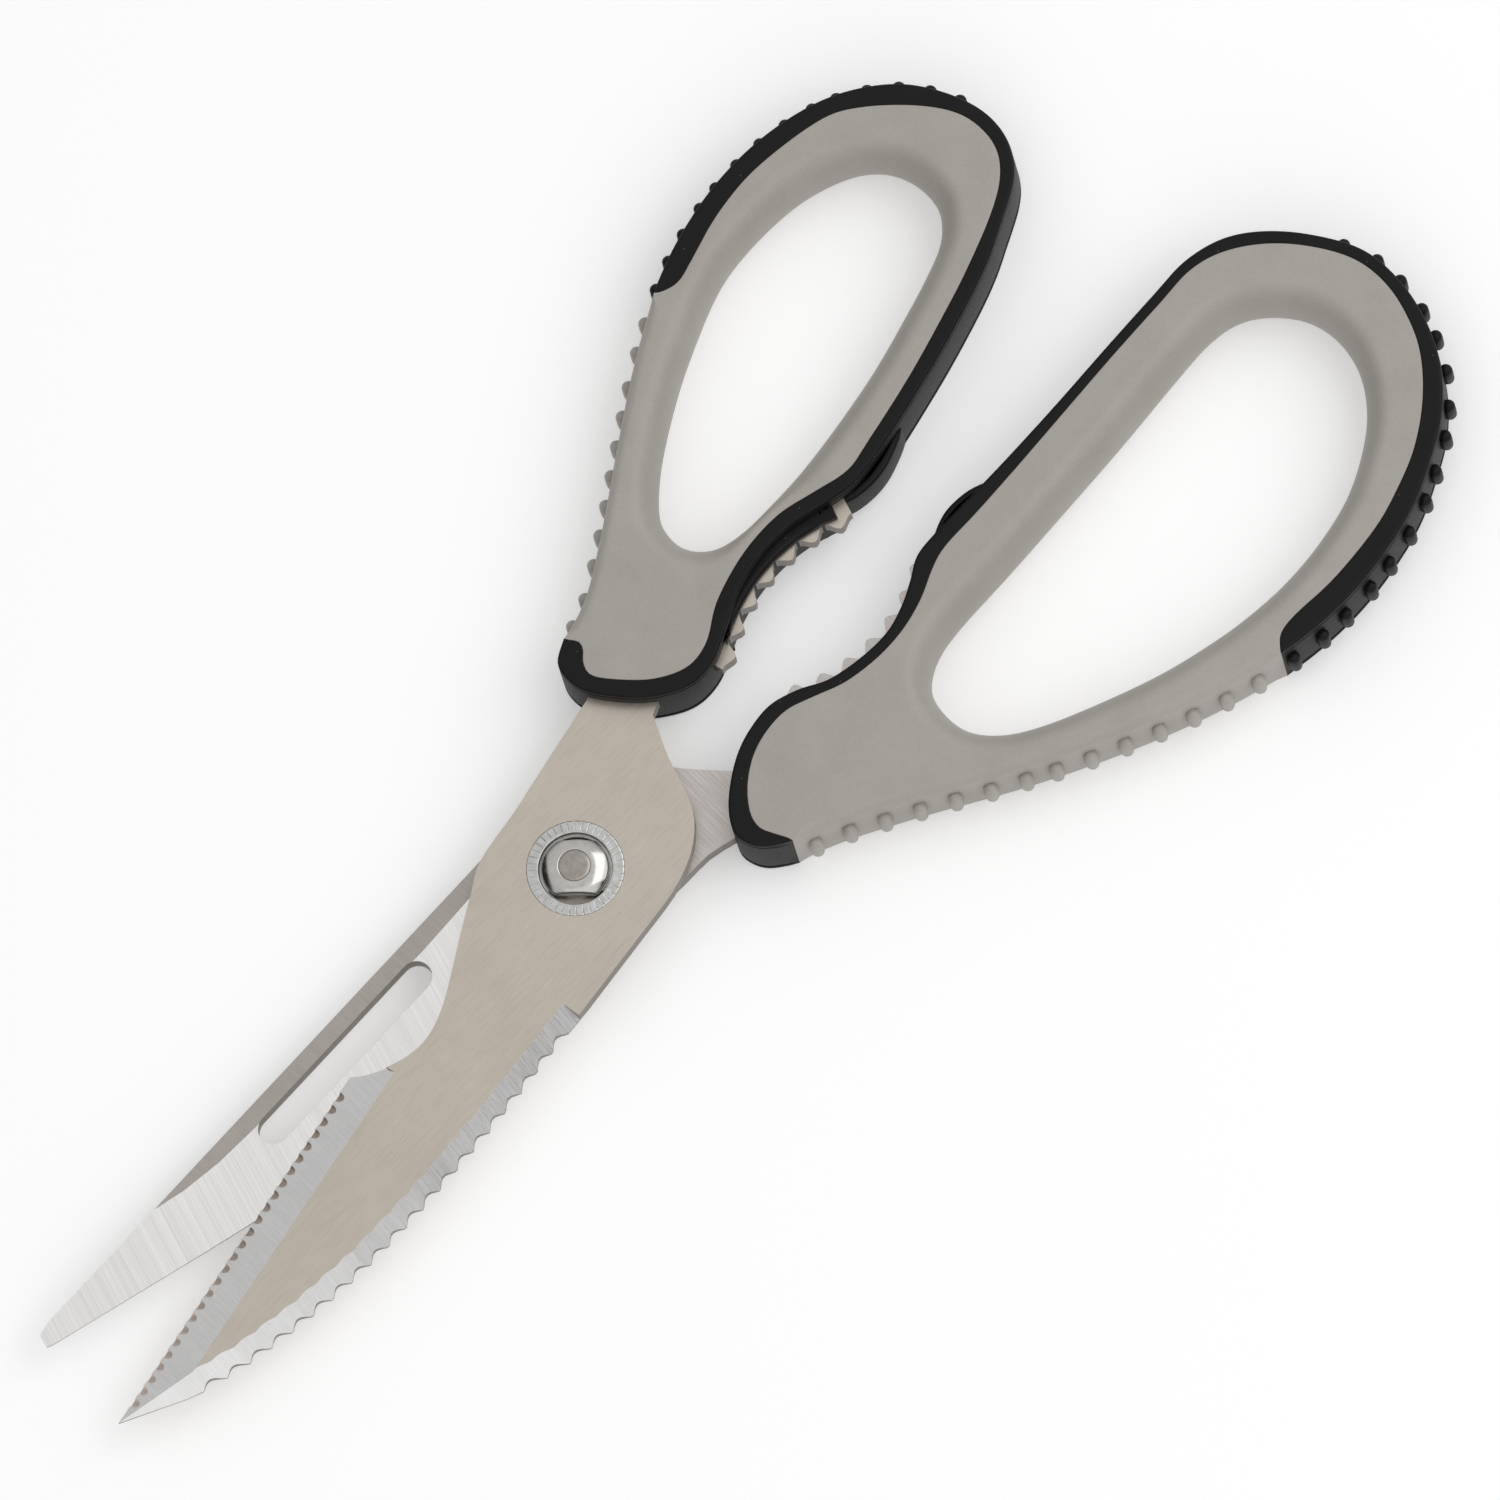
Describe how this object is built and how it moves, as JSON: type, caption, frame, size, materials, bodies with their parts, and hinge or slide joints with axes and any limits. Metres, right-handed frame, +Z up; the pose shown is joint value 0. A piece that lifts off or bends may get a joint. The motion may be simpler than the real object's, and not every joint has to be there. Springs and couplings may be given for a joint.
{
  "type": "poultry shears",
  "caption": "Kitchen poultry shears with bypass blades, a bone notch, a scalloped back, toothed nut jaws, soft-edged finger loops and a take-apart button pivot.",
  "frame": {"origin": "centre of the base: the middle of the bounding box in X and Y, on the plane z = 0 that the handles lie on", "axes": "+Z up, parallel to the pivot axis, out of the face with the button. +Y from the blade tips to the handles along the middle line of the two halves. +X towards the finger handle."},
  "size_m": [0.106, 0.2318, 0.011],
  "materials": {
    "blade_steel": "satin ground",
    "handle_plastic": "fine satin texture, warm grey",
    "grip_rubber": "matte black thermoplastic rubber",
    "pivot_steel": "turned and polished"
  },
  "bodies": {
    "finger_half": {"back_blade": "blade_steel", "finger_handle": "handle_plastic", "finger_grip": "grip_rubber", "pivot_sleeve": "pivot_steel", "pivot_button": "pivot_steel", "pivot_rivet": "pivot_steel"},
    "thumb_half": {"front_blade": "blade_steel", "thumb_handle": "handle_plastic", "thumb_grip": "grip_rubber", "pivot_bush": "pivot_steel"}
  },
  "joints": [
    {"name": "pivot", "type": "hinge", "parent": "finger_half", "child": "thumb_half", "pos_m": [0.00024, -0.01922, 0], "axis": [0, 0, 1], "range_deg": [-7.6, 90]}
  ]
}
